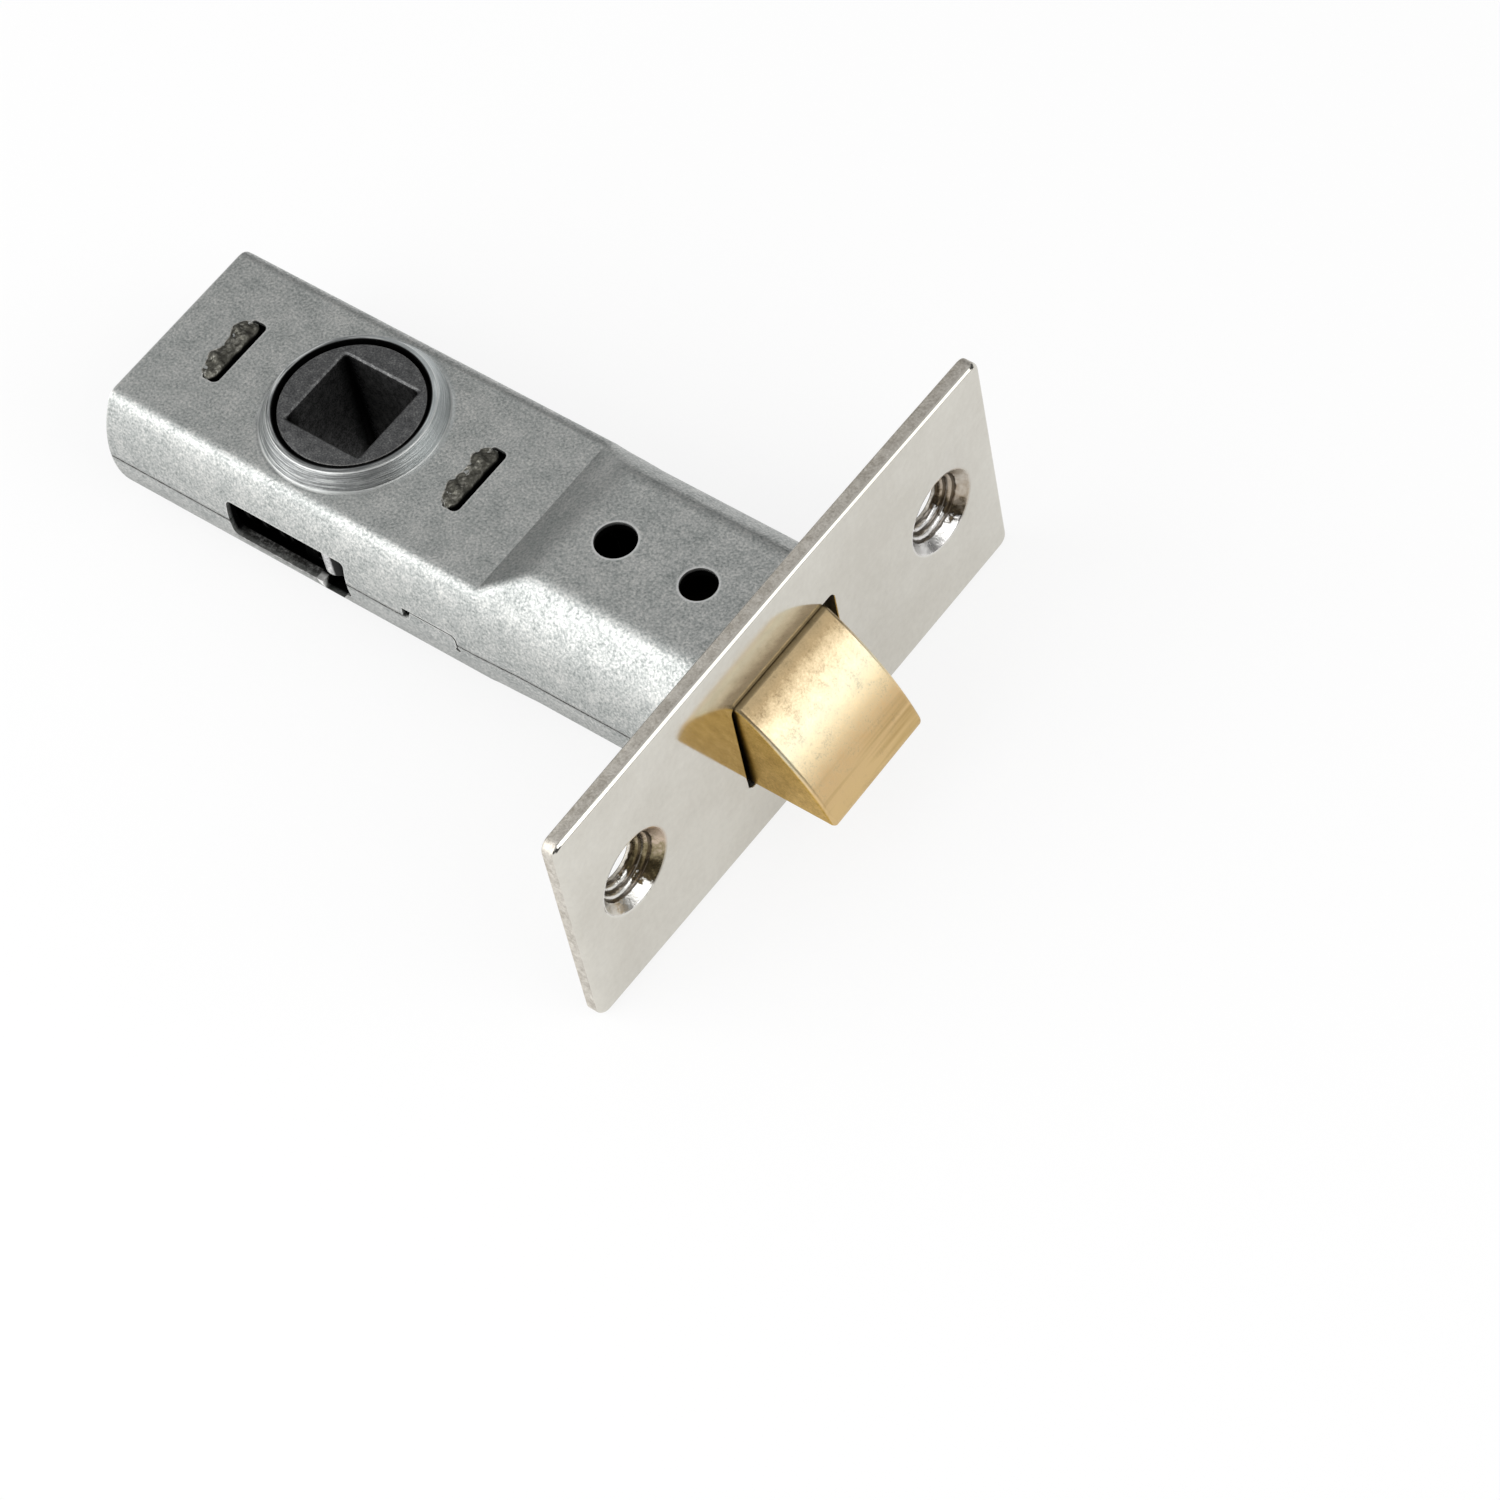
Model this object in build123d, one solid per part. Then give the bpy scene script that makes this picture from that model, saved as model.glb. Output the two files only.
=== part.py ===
from build123d import *
import os
from math import cos, pi, radians, sin

# Tubular door latch, in millimetres.
# The origin is on the spindle axis, halfway through the case.
# +Z runs along the spindle, +X points out of the door's edge, +Y runs along the faceplate.

# Case: two pressed half shells that make a flattened tube
wall = 1.0
case_rear_x = -20.0
case_rear_radius = 11.1
case_front_radius = 10.9
rear_flat_z = 6.45
front_flat_z = 8.75
rear_corner = 1.4
front_corner = 2.4
ramp_start_x = 20.3
ramp_end_x = 25.4
ramp_bends = [(0.58, 0.74), (0.78, 0.93)]
seam_gap = 0.14

# Side slots that the follower's horns swing in, one in each side of the case
side_slot_half_length = 6.5
side_slot_top_z = 2.5
side_slot_bottom_z = -2.1
side_slot_corner = 0.5
slot_scoop = [(3.4, -1.6), (2.2, -4.9), (4.1, -4.9), (6.5, -1.2)]

# Locating tab on the lower shell, in a notch of the upper one
tab_rear_x = 13.0
tab_front_x = 18.45
tab_top_z = 0.95
tab_rear_slant = 0.6
tab_front_drop = 0.4
tab_root_z = -1.0
notch_rear_x = 12.75
notch_play = 0.14
slit_bottom_z = -0.7
slit_hole_radius = 0.25

# Collars drawn up round the spindle hole
collar_bore_radius = 6.83
collar_rim_radius = 7.3
collar_base_radius = 8.3
collar_top_z = 8.2
collar_step = 0.16

# Small round holes in the front of the case
large_hole_x = 28.5
large_hole_radius = 1.87
small_hole_x = 37.1
small_hole_radius = 1.67

# Cross plates, held by tabs that are staked in slots of both shells
cross_plate_thickness = 1.2
rear_plate_x = -14.2
front_plate_x = 12.3
stake_slot_length = 7.2
stake_slot_width = 1.65
stake_slot_front_corner = 0.6
stake_slot_rear_corner = 0.3
stake_slot_rear_gap = 0.05
stake_length = 6.8
stake_top_z = 6.3
stake_lump_radius = 0.6
stake_lump_spacing = 3.4
plate_play = 0.06
front_plate_half_width = 7.5
front_plate_hole_radius = 2.4
spring_pip_radius = 0.75
spring_pip_length = 1.1

# Faceplate
face_length = 57.0
face_width = 25.0
face_thickness = 1.5
face_front_x = 45.1
face_corner_radius = 1.1
face_edge_bow = 0.3
face_edge_round = 0.3
bolt_hole_length = 13.9
bolt_hole_width = 11.25
bolt_hole_centre_z = -0.42
bolt_hole_corner = 0.6
screw_spacing = 42.0
screw_hole_radius = 2.2
screw_land = 0.4
countersink_radius = 4.05
countersink_depth = 2.3
dimple_wall = 0.9

# Follower, turned by the spindle
spindle_square = 8.1
square_corner = 0.35
square_chamfer = 0.18
boss_radius = 6.45
boss_top_z = 7.98
journal_radius = 6.77
journal_top_z = 7.0
shoulder_radius = 7.5
shoulder_top_z = 5.3
shoulder_bottom_z = 2.1
barrel_radius = 6.6
horn_angle = 22.0
horn_tip_centre = 9.5
horn_tip_radius = 1.3
horn_root_centre = 4.6
horn_root_radius = 2.2
horn_half_thickness = 1.8

# Yoke, a folded strip that the horns pull back
yoke_thickness = 1.0
yoke_leg_outer_y = 9.1
yoke_leg_half_height = 3.2
yoke_rear_x = -0.2
yoke_front_x = 35.25
yoke_bar_front_x = 23.85
yoke_bar_half_width = 7.0
yoke_bar_half_height = 5.0
yoke_bar_hole_radius = 4.25
yoke_window_rear_x = 1.3
yoke_window_front_x = 12.1
yoke_window_half_height = 2.15
yoke_hook_inner_y = 6.95
yoke_bend_radius = 0.9
nib_length = 1.3
nib_half_height = 0.5

# Latch bolt
bolt_width = 12.3
bolt_height = 10.6
bolt_rear_x = 34.0
bolt_tip_x = 53.35
bolt_heel_x = 43.0
bolt_heel_z = -4.6
bevel_start_x = 45.5
bevel_middle = (50.2, 0.85)
bolt_tip_land = 0.45
bolt_edge_round = 0.25
bolt_roll = 1.5
bolt_shift_y = -0.33
bolt_shift_z = -0.48

# Bolt tail, a flat strip let into the bolt and riveted
tail_half_thickness = 0.8
tail_tongue_half_width = 3.0
tail_tongue_end_x = 43.4
tail_wing_half_width = 7.55
tail_wing_rear_x = 32.75
tail_spigot_half_width = 1.5
tail_spigot_rear_x = 29.8
tail_slot_play = 0.05
rivet_x = 38.6
rivet_radius = 1.5
rivet_play = 0.02
rivet_half_length = 4.45

# Springs
bolt_spring_radius = 2.9
bolt_spring_wire = 0.7
bolt_spring_turns = 10
lever_spring_y = 8.5
lever_spring_radius = 1.2
lever_spring_wire = 0.42
lever_spring_turns = 8
spring_end_gap = 0.05
spring_runs_per_turn = 10
spring_wire_sides = 5
washer_radius = 3.45
washer_hole_radius = 1.85
washer_thickness = 0.7

ACROSS = Plane.YZ


def between(x_start, x_end, y_start, y_end, z_start, z_end):
    """Block between two corners."""
    size = (x_end - x_start, y_end - y_start, z_end - z_start)
    centre = ((x_start + x_end) / 2, (y_start + y_end) / 2, (z_start + z_end) / 2)
    return Pos(*centre) * Box(*size)


def rod_x(radius, x_start, x_end, y=0.0):
    """Round bar along X."""
    return Plane.YZ.offset(x_start) * Pos(y, 0) * extrude(Circle(radius), amount=x_end - x_start)


def both_sides(solid):
    """The solid and its mirror image on the far side of the XZ plane."""
    return solid + mirror(solid, about=Plane.XZ)


# Case shells

def case_section(x, radius, flat_z, corner, inset):
    """Round section with flats above and below, in a plane across X."""
    outline = Circle(radius - inset) & Rectangle(2 * radius, 2 * (flat_z - inset))
    rounded = fillet(outline.vertices(), corner - inset * 0.8)
    return ACROSS.offset(x) * rounded


def ramp_stations():
    """X, radius, flat height and corner radius at each bend of the ramp."""
    stations = []
    for along, up in [(0.0, 0.0)] + ramp_bends + [(1.0, 1.0)]:
        x = ramp_start_x + along * (ramp_end_x - ramp_start_x)
        radius = case_rear_radius + along * (case_front_radius - case_rear_radius)
        flat_z = rear_flat_z + up * (front_flat_z - rear_flat_z)
        corner = rear_corner + along * (front_corner - rear_corner)
        stations.append((x, radius, flat_z, corner))
    return stations


def case_bar(inset, overrun):
    """The case as a solid bar, or its bore when inset by the wall."""
    rear = case_section(case_rear_x - overrun, case_rear_radius, rear_flat_z, rear_corner, inset)
    bar = extrude(rear, amount=ramp_start_x - case_rear_x + overrun)
    stations = ramp_stations()
    for near, far in zip(stations, stations[1:]):
        bar += loft([case_section(*near, inset), case_section(*far, inset)], ruled=True)
    front = case_section(ramp_end_x, case_front_radius, front_flat_z, front_corner, inset)
    bar += extrude(front, amount=face_front_x - face_thickness - ramp_end_x + overrun)
    return bar


def collar():
    """Conical collar with a flat rim, drawn up from the top face."""
    inner_z = rear_flat_z - wall
    profile = Plane.XZ * make_face(Polyline(
        (collar_bore_radius, inner_z),
        (collar_base_radius, inner_z),
        (collar_base_radius, rear_flat_z + collar_step),
        (collar_rim_radius, collar_top_z),
        (collar_bore_radius, collar_top_z),
        close=True,
    ))
    return revolve(profile, axis=Axis.Z)


def stake_slot(x):
    """Round-cornered slot through the top face for a cross plate's tab."""
    outline = Rectangle(stake_slot_width, stake_slot_length)
    rear_corners = outline.vertices().sort_by(Axis.X)[:2]
    outline = fillet(rear_corners, stake_slot_rear_corner)
    front_corners = outline.vertices().sort_by(Axis.X)[-2:]
    outline = fillet(front_corners, stake_slot_front_corner)
    middle_x = x - stake_slot_rear_gap + stake_slot_width / 2
    return Pos(middle_x, 0) * extrude(outline, amount=case_rear_radius)


def side_cut(points):
    """Prism through both sides of the case, from its outline in side view."""
    outline = make_face(Polyline(*points, close=True))
    return extrude(Plane.XZ * outline, amount=case_rear_radius, both=True)


def tab_prism():
    """Locating tab, with a slanting rear end and its front corner cut off."""
    return side_cut([
        (tab_rear_x, tab_root_z),
        (tab_rear_x + tab_rear_slant, tab_top_z),
        (tab_front_x - tab_front_drop, tab_top_z),
        (tab_front_x, tab_top_z - tab_front_drop),
        (tab_front_x, tab_root_z),
    ])


def notch_prism():
    """Notch in the upper shell, a little wider than the tab."""
    front_x = tab_front_x + notch_play
    top_z = tab_top_z + notch_play
    return side_cut([
        (notch_rear_x, tab_root_z),
        (notch_rear_x, top_z),
        (front_x - tab_front_drop, top_z),
        (front_x, top_z - tab_front_drop),
        (front_x, tab_root_z),
    ])


def tab_slit():
    """Slit in front of the tab, which ends in a small round hole."""
    middle_x = tab_front_x + notch_play / 2
    slit = between(tab_front_x, tab_front_x + notch_play, -face_width, face_width,
                   slit_bottom_z, tab_top_z)
    hole = Pos(middle_x, 0, slit_bottom_z) * Rot(90, 0, 0) * Cylinder(slit_hole_radius, 2 * face_width)
    return slit + hole


def half_shell(tube):
    """Upper half of the case, with its collar, holes and slots."""
    half = tube & between(case_rear_x, face_front_x, -face_width, face_width, 0, face_width)
    half -= Pos(0, 0, rear_flat_z) * Cylinder(collar_base_radius - 0.2, 4)
    half += collar()
    for x in (rear_plate_x, front_plate_x):
        half -= stake_slot(x)
    for x, radius in ((large_hole_x, large_hole_radius), (small_hole_x, small_hole_radius)):
        half -= Pos(x, 0, front_flat_z) * Cylinder(radius, 6)
    return half


def case_shells():
    """Upper and lower shells, meeting at the seam."""
    tube = case_bar(0, 0) - case_bar(wall, 1)
    upper = half_shell(tube)
    lower = mirror(upper, about=Plane.XY)
    side_slot = between(-side_slot_half_length, side_slot_half_length,
                        -face_width, face_width, side_slot_bottom_z, side_slot_top_z)
    side_slot = fillet(side_slot.edges().filter_by(Axis.Y), side_slot_corner)
    seam_cut = between(case_rear_x, face_front_x, -face_width, face_width,
                       -seam_gap / 2, seam_gap / 2)
    upper = upper - side_slot - seam_cut - notch_prism()
    lower = lower - side_slot - side_cut(slot_scoop) - seam_cut
    lower = lower + (tube & tab_prism()) - tab_slit()
    return upper, lower


# Cross plates

def stakes(x):
    """Tabs above and below a cross plate, with two punched lumps on each end."""
    tab = between(x, x + cross_plate_thickness, -stake_length / 2, stake_length / 2,
                  -stake_top_z, stake_top_z)
    for side in (-1, 1):
        for level in (-1, 1):
            lump = Pos(x + cross_plate_thickness / 2, side * stake_lump_spacing / 2, level * stake_top_z)
            tab += lump * Rot(90, 0, 0) * Cylinder(stake_lump_radius, stake_lump_spacing * 0.7)
    return tab


def front_cross_plate():
    """Plate that the bolt spring pushes against, clear of the yoke's legs."""
    half_height = rear_flat_z - wall - plate_play
    plate = between(front_plate_x, front_plate_x + cross_plate_thickness,
                    -front_plate_half_width, front_plate_half_width, -half_height, half_height)
    plate += stakes(front_plate_x)
    return plate - rod_x(front_plate_hole_radius, front_plate_x - 1, front_plate_x + 3)


def rear_cross_plate():
    """Plate that fills the rear of the case, with a pip for each lever spring."""
    outline = case_section(rear_plate_x, case_rear_radius, rear_flat_z, rear_corner, wall + plate_play)
    plate = extrude(outline, amount=cross_plate_thickness)
    plate += stakes(rear_plate_x)
    front = rear_plate_x + cross_plate_thickness
    pip = rod_x(spring_pip_radius, front, front + spring_pip_length, lever_spring_y)
    return plate + both_sides(pip)


# Faceplate

def faceplate():
    """Pressed plate with dimpled countersinks and slightly bowed long edges."""
    half_length = face_length / 2
    half_width = face_width / 2
    edge_z = half_width - face_edge_bow
    back_x = face_front_x - face_thickness
    outline = make_face([
        ThreePointArc((-half_length, edge_z), (0, half_width), (half_length, edge_z)),
        Line((half_length, edge_z), (half_length, -edge_z)),
        ThreePointArc((half_length, -edge_z), (0, -half_width), (-half_length, -edge_z)),
        Line((-half_length, -edge_z), (-half_length, edge_z)),
    ])
    outline = fillet(outline.vertices(), face_corner_radius)
    plate = extrude(ACROSS.offset(back_x) * outline, amount=face_thickness)
    front_rim = plate.faces().sort_by(Axis.X)[-1].edges()
    plate = chamfer(front_rim, face_edge_round)
    for side in (-1, 1):
        plate += countersink(side * screw_spacing / 2, dimple_wall)
    for side in (-1, 1):
        plate -= countersink(side * screw_spacing / 2, 0)
    hole = fillet(Rectangle(bolt_hole_length, bolt_hole_width).vertices(), bolt_hole_corner)
    hole = ACROSS.offset(back_x - 1) * Pos(0, bolt_hole_centre_z) * hole
    return plate - extrude(hole, amount=face_thickness + 2)


def countersink(y, grow):
    """Cone and screw hole, or the dimple round them when grown by its wall."""
    base_x = face_front_x - countersink_depth
    if grow:
        back_x = face_front_x - face_thickness
        deep = back_x - base_x + screw_land
        end_radius = screw_hole_radius + grow - screw_land
        cone = Cone(end_radius + deep, end_radius, deep)
        return Pos(back_x - deep / 2, y, 0) * Rot(0, -90, 0) * cone
    cone = Cone(screw_hole_radius, countersink_radius, countersink_depth)
    hole = Pos(base_x + countersink_depth / 2, y, 0) * Rot(0, 90, 0) * cone
    return hole + rod_x(screw_hole_radius, base_x - 3, base_x, y)


# Follower

def horn(side):
    """Tapered arm with a round tip, leaning forward from the Y axis."""
    reach_x = sin(radians(horn_angle))
    reach_y = side * cos(radians(horn_angle))
    root = Pos(horn_root_centre * reach_x, horn_root_centre * reach_y) * Circle(horn_root_radius)
    tip = Pos(horn_tip_centre * reach_x, horn_tip_centre * reach_y) * Circle(horn_tip_radius)
    outline = make_hull(root.edges() + tip.edges())
    return extrude(outline, amount=horn_half_thickness, both=True)


def follower():
    """Stepped drum with a square socket and two horns."""
    upper = Plane.XZ * make_face(Polyline(
        (0, 0),
        (barrel_radius, 0),
        (barrel_radius, shoulder_bottom_z),
        (shoulder_radius, shoulder_bottom_z),
        (shoulder_radius, shoulder_top_z),
        (journal_radius, shoulder_top_z),
        (journal_radius, journal_top_z),
        (boss_radius, journal_top_z),
        (boss_radius, boss_top_z),
        (0, boss_top_z),
        close=True,
    ))
    half = revolve(upper, axis=Axis.Z)
    drum = half + mirror(half, about=Plane.XY)
    drum += horn(1) + horn(-1)
    square = fillet(Rectangle(spindle_square, spindle_square).vertices(), square_corner)
    mouth = Rectangle(spindle_square + 2 * square_chamfer, spindle_square + 2 * square_chamfer)
    mouth = fillet(mouth.vertices(), square_corner)
    drum -= extrude(square, amount=boss_top_z + 1, both=True)
    for level in (-1, 1):
        drum -= loft([
            Pos(0, 0, level * (boss_top_z - square_chamfer)) * square,
            Pos(0, 0, level * boss_top_z) * mouth,
        ], ruled=True)
    return drum


# Yoke

def yoke():
    """Front bar and two legs, windowed for the horns and hooked for the bolt's tail."""
    inner_y = yoke_leg_outer_y - yoke_thickness
    height = yoke_leg_half_height
    bar_rear_x = yoke_bar_front_x - yoke_thickness
    leg = between(yoke_rear_x, yoke_front_x, inner_y, yoke_leg_outer_y, -height, height)
    leg -= between(yoke_window_rear_x, yoke_window_front_x, 0, face_width,
                   -yoke_window_half_height, yoke_window_half_height)
    leg += between(yoke_front_x - yoke_thickness, yoke_front_x, yoke_hook_inner_y,
                   yoke_leg_outer_y, -height, height)
    front_bend = leg.edges().filter_by(Axis.Z).group_by(Axis.X)[-1].sort_by(Axis.Y)[-1]
    leg = fillet(front_bend, yoke_bend_radius)
    leg += between(yoke_rear_x - nib_length, yoke_rear_x, inner_y, yoke_leg_outer_y,
                   -nib_half_height, nib_half_height)
    bar = between(bar_rear_x, yoke_bar_front_x, -yoke_leg_outer_y + 0.5, yoke_leg_outer_y - 0.5,
                  -height, height)
    bar += between(bar_rear_x, yoke_bar_front_x, -yoke_bar_half_width, yoke_bar_half_width,
                   -yoke_bar_half_height, yoke_bar_half_height)
    bar -= rod_x(yoke_bar_hole_radius, bar_rear_x - 1, yoke_bar_front_x + 1)
    return both_sides(leg) + bar


# Latch bolt and its tail

def lie_in_hole(solid):
    """Roll and shift a part of the loose bolt as it lies in its hole."""
    return Pos(0, bolt_shift_y, bolt_shift_z) * Rot(bolt_roll, 0, 0) * solid


def latch_bolt():
    """Bar with a convex bevel, slotted behind for the tail."""
    top = bolt_height / 2
    outline = make_face([
        Line((bolt_rear_x, bolt_heel_z), (bolt_rear_x, top)),
        Line((bolt_rear_x, top), (bevel_start_x, top)),
        ThreePointArc((bevel_start_x, top), bevel_middle, (bolt_tip_x, -top + bolt_tip_land)),
        Line((bolt_tip_x, -top + bolt_tip_land), (bolt_tip_x, -top)),
        Line((bolt_tip_x, -top), (bolt_heel_x, -top)),
        Line((bolt_heel_x, -top), (bolt_heel_x, bolt_heel_z)),
        Line((bolt_heel_x, bolt_heel_z), (bolt_rear_x, bolt_heel_z)),
    ])
    bolt = extrude(Plane.XZ * outline, amount=bolt_width / 2, both=True)
    sides = bolt.faces().sort_by(Axis.Y)
    bolt = chamfer(sides[0].edges() + sides[-1].edges(), bolt_edge_round)
    slot_y = tail_tongue_half_width + tail_slot_play
    slot_z = tail_half_thickness + tail_slot_play
    bolt -= between(bolt_rear_x - 1, tail_tongue_end_x + 0.3, -slot_y, slot_y, -slot_z, slot_z)
    return bolt - Pos(rivet_x, 0, 0) * Cylinder(rivet_radius + rivet_play, bolt_height + 2)


def bolt_tail():
    """Flat strip: tongue into the bolt, wings for the yoke's hooks, spigot for the spring."""
    thick = tail_half_thickness
    tail = between(bolt_rear_x, tail_tongue_end_x, -tail_tongue_half_width, tail_tongue_half_width,
                   -thick, thick)
    tail += between(tail_wing_rear_x, bolt_rear_x, -tail_wing_half_width, tail_wing_half_width,
                    -thick, thick)
    tail += between(tail_spigot_rear_x, tail_wing_rear_x, -tail_spigot_half_width,
                    tail_spigot_half_width, -thick, thick)
    return tail - Pos(rivet_x, 0, 0) * Cylinder(rivet_radius + rivet_play, 4)


def bolt_rivet():
    """Plain pin across the bolt, through the tail's tongue."""
    return Pos(rivet_x, 0, 0) * Cylinder(rivet_radius, 2 * rivet_half_length)


def spring_washer():
    """Washer between the bolt spring and the tail's wings."""
    rear_x = tail_wing_rear_x - spring_end_gap - washer_thickness
    front_x = tail_wing_rear_x - spring_end_gap
    return rod_x(washer_radius, rear_x, front_x) - rod_x(washer_hole_radius, rear_x - 1, front_x + 1)


# Springs

def coil_spring(x_start, x_end, y, radius, wire, turns):
    """Open coil along X between two faces, in short straight runs."""
    first_x = x_start + spring_end_gap + wire * 0.6
    length = x_end - x_start - 2 * spring_end_gap - wire * 1.2
    runs = turns * spring_runs_per_turn
    points = []
    for run in range(runs + 1):
        angle = 2 * pi * run / spring_runs_per_turn
        points.append((first_x + length * run / runs, y + radius * cos(angle), radius * sin(angle)))
    path = Polyline(*points)
    section = Plane(path @ 0, z_dir=path % 0) * RegularPolygon(wire / 2, spring_wire_sides)
    return sweep(section, path=path, transition=Transition.RIGHT)


def bolt_spring():
    """Spring that pushes the bolt out."""
    washer_rear_x = tail_wing_rear_x - spring_end_gap - washer_thickness
    return coil_spring(front_plate_x + cross_plate_thickness, washer_rear_x, bolt_shift_y,
                       bolt_spring_radius, bolt_spring_wire, bolt_spring_turns)


def lever_spring(side):
    """Spring that pushes one leg of the yoke forward."""
    return coil_spring(rear_plate_x + cross_plate_thickness, yoke_rear_x, side * lever_spring_y,
                       lever_spring_radius, lever_spring_wire, lever_spring_turns)


upper_shell, lower_shell = case_shells()
nodes = {
    "case_top_shell": upper_shell,
    "case_bottom_shell": lower_shell,
    "faceplate": faceplate(),
    "front_cross_plate": front_cross_plate(),
    "rear_cross_plate": rear_cross_plate(),
    "follower": follower(),
    "yoke": yoke(),
    "latch_bolt": lie_in_hole(latch_bolt()),
    "bolt_tail": lie_in_hole(bolt_tail()),
    "bolt_rivet": lie_in_hole(bolt_rivet()),
    "spring_washer": lie_in_hole(spring_washer()),
    "bolt_spring": bolt_spring(),
    "lever_spring_near": lever_spring(-1),
    "lever_spring_far": lever_spring(1),
}

os.makedirs("parts", exist_ok=True)
for name, solid in nodes.items():
    export_step(solid, f"parts/{name}.step")
    print(name, round(solid.volume, 1))
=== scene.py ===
import math
import bmesh
import bpy
from mathutils import Matrix, Vector, noise


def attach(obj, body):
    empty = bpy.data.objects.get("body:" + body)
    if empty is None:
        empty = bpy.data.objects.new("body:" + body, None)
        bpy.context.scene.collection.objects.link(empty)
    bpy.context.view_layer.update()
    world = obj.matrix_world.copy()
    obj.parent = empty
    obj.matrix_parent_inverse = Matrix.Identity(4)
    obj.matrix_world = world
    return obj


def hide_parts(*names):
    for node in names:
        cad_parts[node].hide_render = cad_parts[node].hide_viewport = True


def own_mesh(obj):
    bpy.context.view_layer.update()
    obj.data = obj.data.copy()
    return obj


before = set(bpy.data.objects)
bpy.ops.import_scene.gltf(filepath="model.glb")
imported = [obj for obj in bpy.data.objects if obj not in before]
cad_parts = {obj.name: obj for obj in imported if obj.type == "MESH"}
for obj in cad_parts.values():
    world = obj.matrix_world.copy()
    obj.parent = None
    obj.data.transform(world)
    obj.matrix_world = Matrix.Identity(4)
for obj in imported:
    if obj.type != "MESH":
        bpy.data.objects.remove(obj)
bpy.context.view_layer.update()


# Case shells: two half tubes pressed from 1 mm sheet steel and zinc plated. The press rounds their
# outer rims a little, and each has a collar drawn up round the spindle hole. They meet along the
# sides, where a tab on the lower shell locks into a notch in the upper one.

MM = 0.001


def put(name, data):
    """A new object of this mesh, curve, lamp or lens, in the scene."""
    made = bpy.data.objects.new(name, data)
    bpy.context.scene.collection.objects.link(made)
    return made


def solid_copy(node, name):
    """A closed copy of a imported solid, with each flat face whole again."""
    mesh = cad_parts[node].data.copy()
    mesh.name = name
    work = bmesh.new()
    work.from_mesh(mesh)
    bmesh.ops.remove_doubles(work, verts=work.verts, dist=0.002 * MM)
    bmesh.ops.dissolve_limit(
        work, angle_limit=math.radians(0.5), verts=work.verts, edges=work.edges)
    work.to_mesh(mesh)
    work.free()
    return put(name, mesh)


def smooth(mesh, sharper_than):
    """Shades a mesh smooth, but for its edges sharper than so many degrees."""
    mesh.polygons.foreach_set("use_smooth", [True] * len(mesh.polygons))
    mesh.set_sharp_from_angle(angle=math.radians(sharper_than))


def round_rims(piece, radius_mm, steps=2, inner_corners=True):
    """Rounds a piece's sharp edges, all of them or the outer ones alone, and smooths the rest."""
    sharper_than = 28
    bevel = piece.modifiers.new("rounded_rims", "BEVEL")
    bevel.width = radius_mm * MM
    bevel.segments = steps
    bevel.limit_method = "ANGLE" if inner_corners else "WEIGHT"
    bevel.angle_limit = math.radians(sharper_than)
    bevel.harden_normals = True
    bevel.use_clamp_overlap = True
    if not inner_corners:
        work = bmesh.new()
        work.from_mesh(piece.data)
        weight = work.edges.layers.float.new("bevel_weight_edge")
        for edge in work.edges:
            if edge.is_convex and edge.calc_face_angle() > math.radians(sharper_than):
                edge[weight] = 1.0
        work.to_mesh(piece.data)
        work.free()
    smooth(piece.data, sharper_than)


def give(piece, material, body, slot, *nodes):
    """Sets a piece's material, and says what it rides on and stands for."""
    piece.data.materials.clear()
    piece.data.materials.append(material)
    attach(piece, body)
    if nodes:
        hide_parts(*nodes)


def add(tree, kind, inputs=None, **settings):
    """A new shader node with its settings and its inputs, which are values or other sockets."""
    made = tree.nodes.new(kind)
    for key, value in settings.items():
        setattr(made, key, value)
    for key, value in (inputs or {}).items():
        socket = made.inputs[key]
        if isinstance(value, bpy.types.NodeSocket):
            tree.links.new(value, socket)
        else:
            socket.default_value = value
    return made


def ramp(tree, factor, stops):
    """A colour ramp. Each stop is a position and a grey or an RGB colour."""
    made = add(tree, "ShaderNodeValToRGB", {"Fac": factor})
    while len(made.color_ramp.elements) < len(stops):
        made.color_ramp.elements.new(0.5)
    for element, (position, colour) in zip(made.color_ramp.elements, stops):
        element.position = position
        rgb = colour if isinstance(colour, tuple) else (colour,) * 3
        element.color = (*rgb, 1)
    return made.outputs["Color"]


def blend_colour(tree, factor, a, b, mode="MIX"):
    """Mixes two colours by a factor."""
    made = add(tree, "ShaderNodeMix", data_type="RGBA", blend_type=mode)
    for socket, value in zip((made.inputs[0], made.inputs[6], made.inputs[7]), (factor, a, b)):
        if isinstance(value, bpy.types.NodeSocket):
            tree.links.new(value, socket)
        elif isinstance(value, tuple):
            socket.default_value = (*value, 1)
        else:
            socket.default_value = value
    return made.outputs[2]


def calc(tree, operation, a, b=0.0):
    """One step of arithmetic on values or sockets."""
    return add(tree, "ShaderNodeMath", {0: a, 1: b}, operation=operation).outputs[0]


def product(tree, *factors):
    """Values or sockets multiplied together."""
    result = factors[0]
    for factor in factors[1:]:
        result = calc(tree, "MULTIPLY", result, factor)
    return result


def fade(tree, value, start, end, first=0.0, last=1.0):
    """Runs from first to last as the value runs from start to end, and holds outside them."""
    return add(tree, "ShaderNodeMapRange", {
        "Value": value, "From Min": start, "From Max": end,
        "To Min": first, "To Max": last}).outputs[0]


def spots(tree, place, per_metre, detail, roughness=0.5):
    """Soft random spots, about so many to the metre."""
    return add(tree, "ShaderNodeTexNoise", {
        "Vector": place, "Scale": per_metre, "Detail": detail,
        "Roughness": roughness}).outputs["Fac"]


def latch_place(tree):
    """A point's place on the latch at rest, which it keeps as the joints move."""
    return add(tree, "ShaderNodeTexCoord").outputs["Object"]


def axes_of(tree, vector):
    """The three coordinates of a place or a direction."""
    return add(tree, "ShaderNodeSeparateXYZ", {0: vector}).outputs


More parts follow.
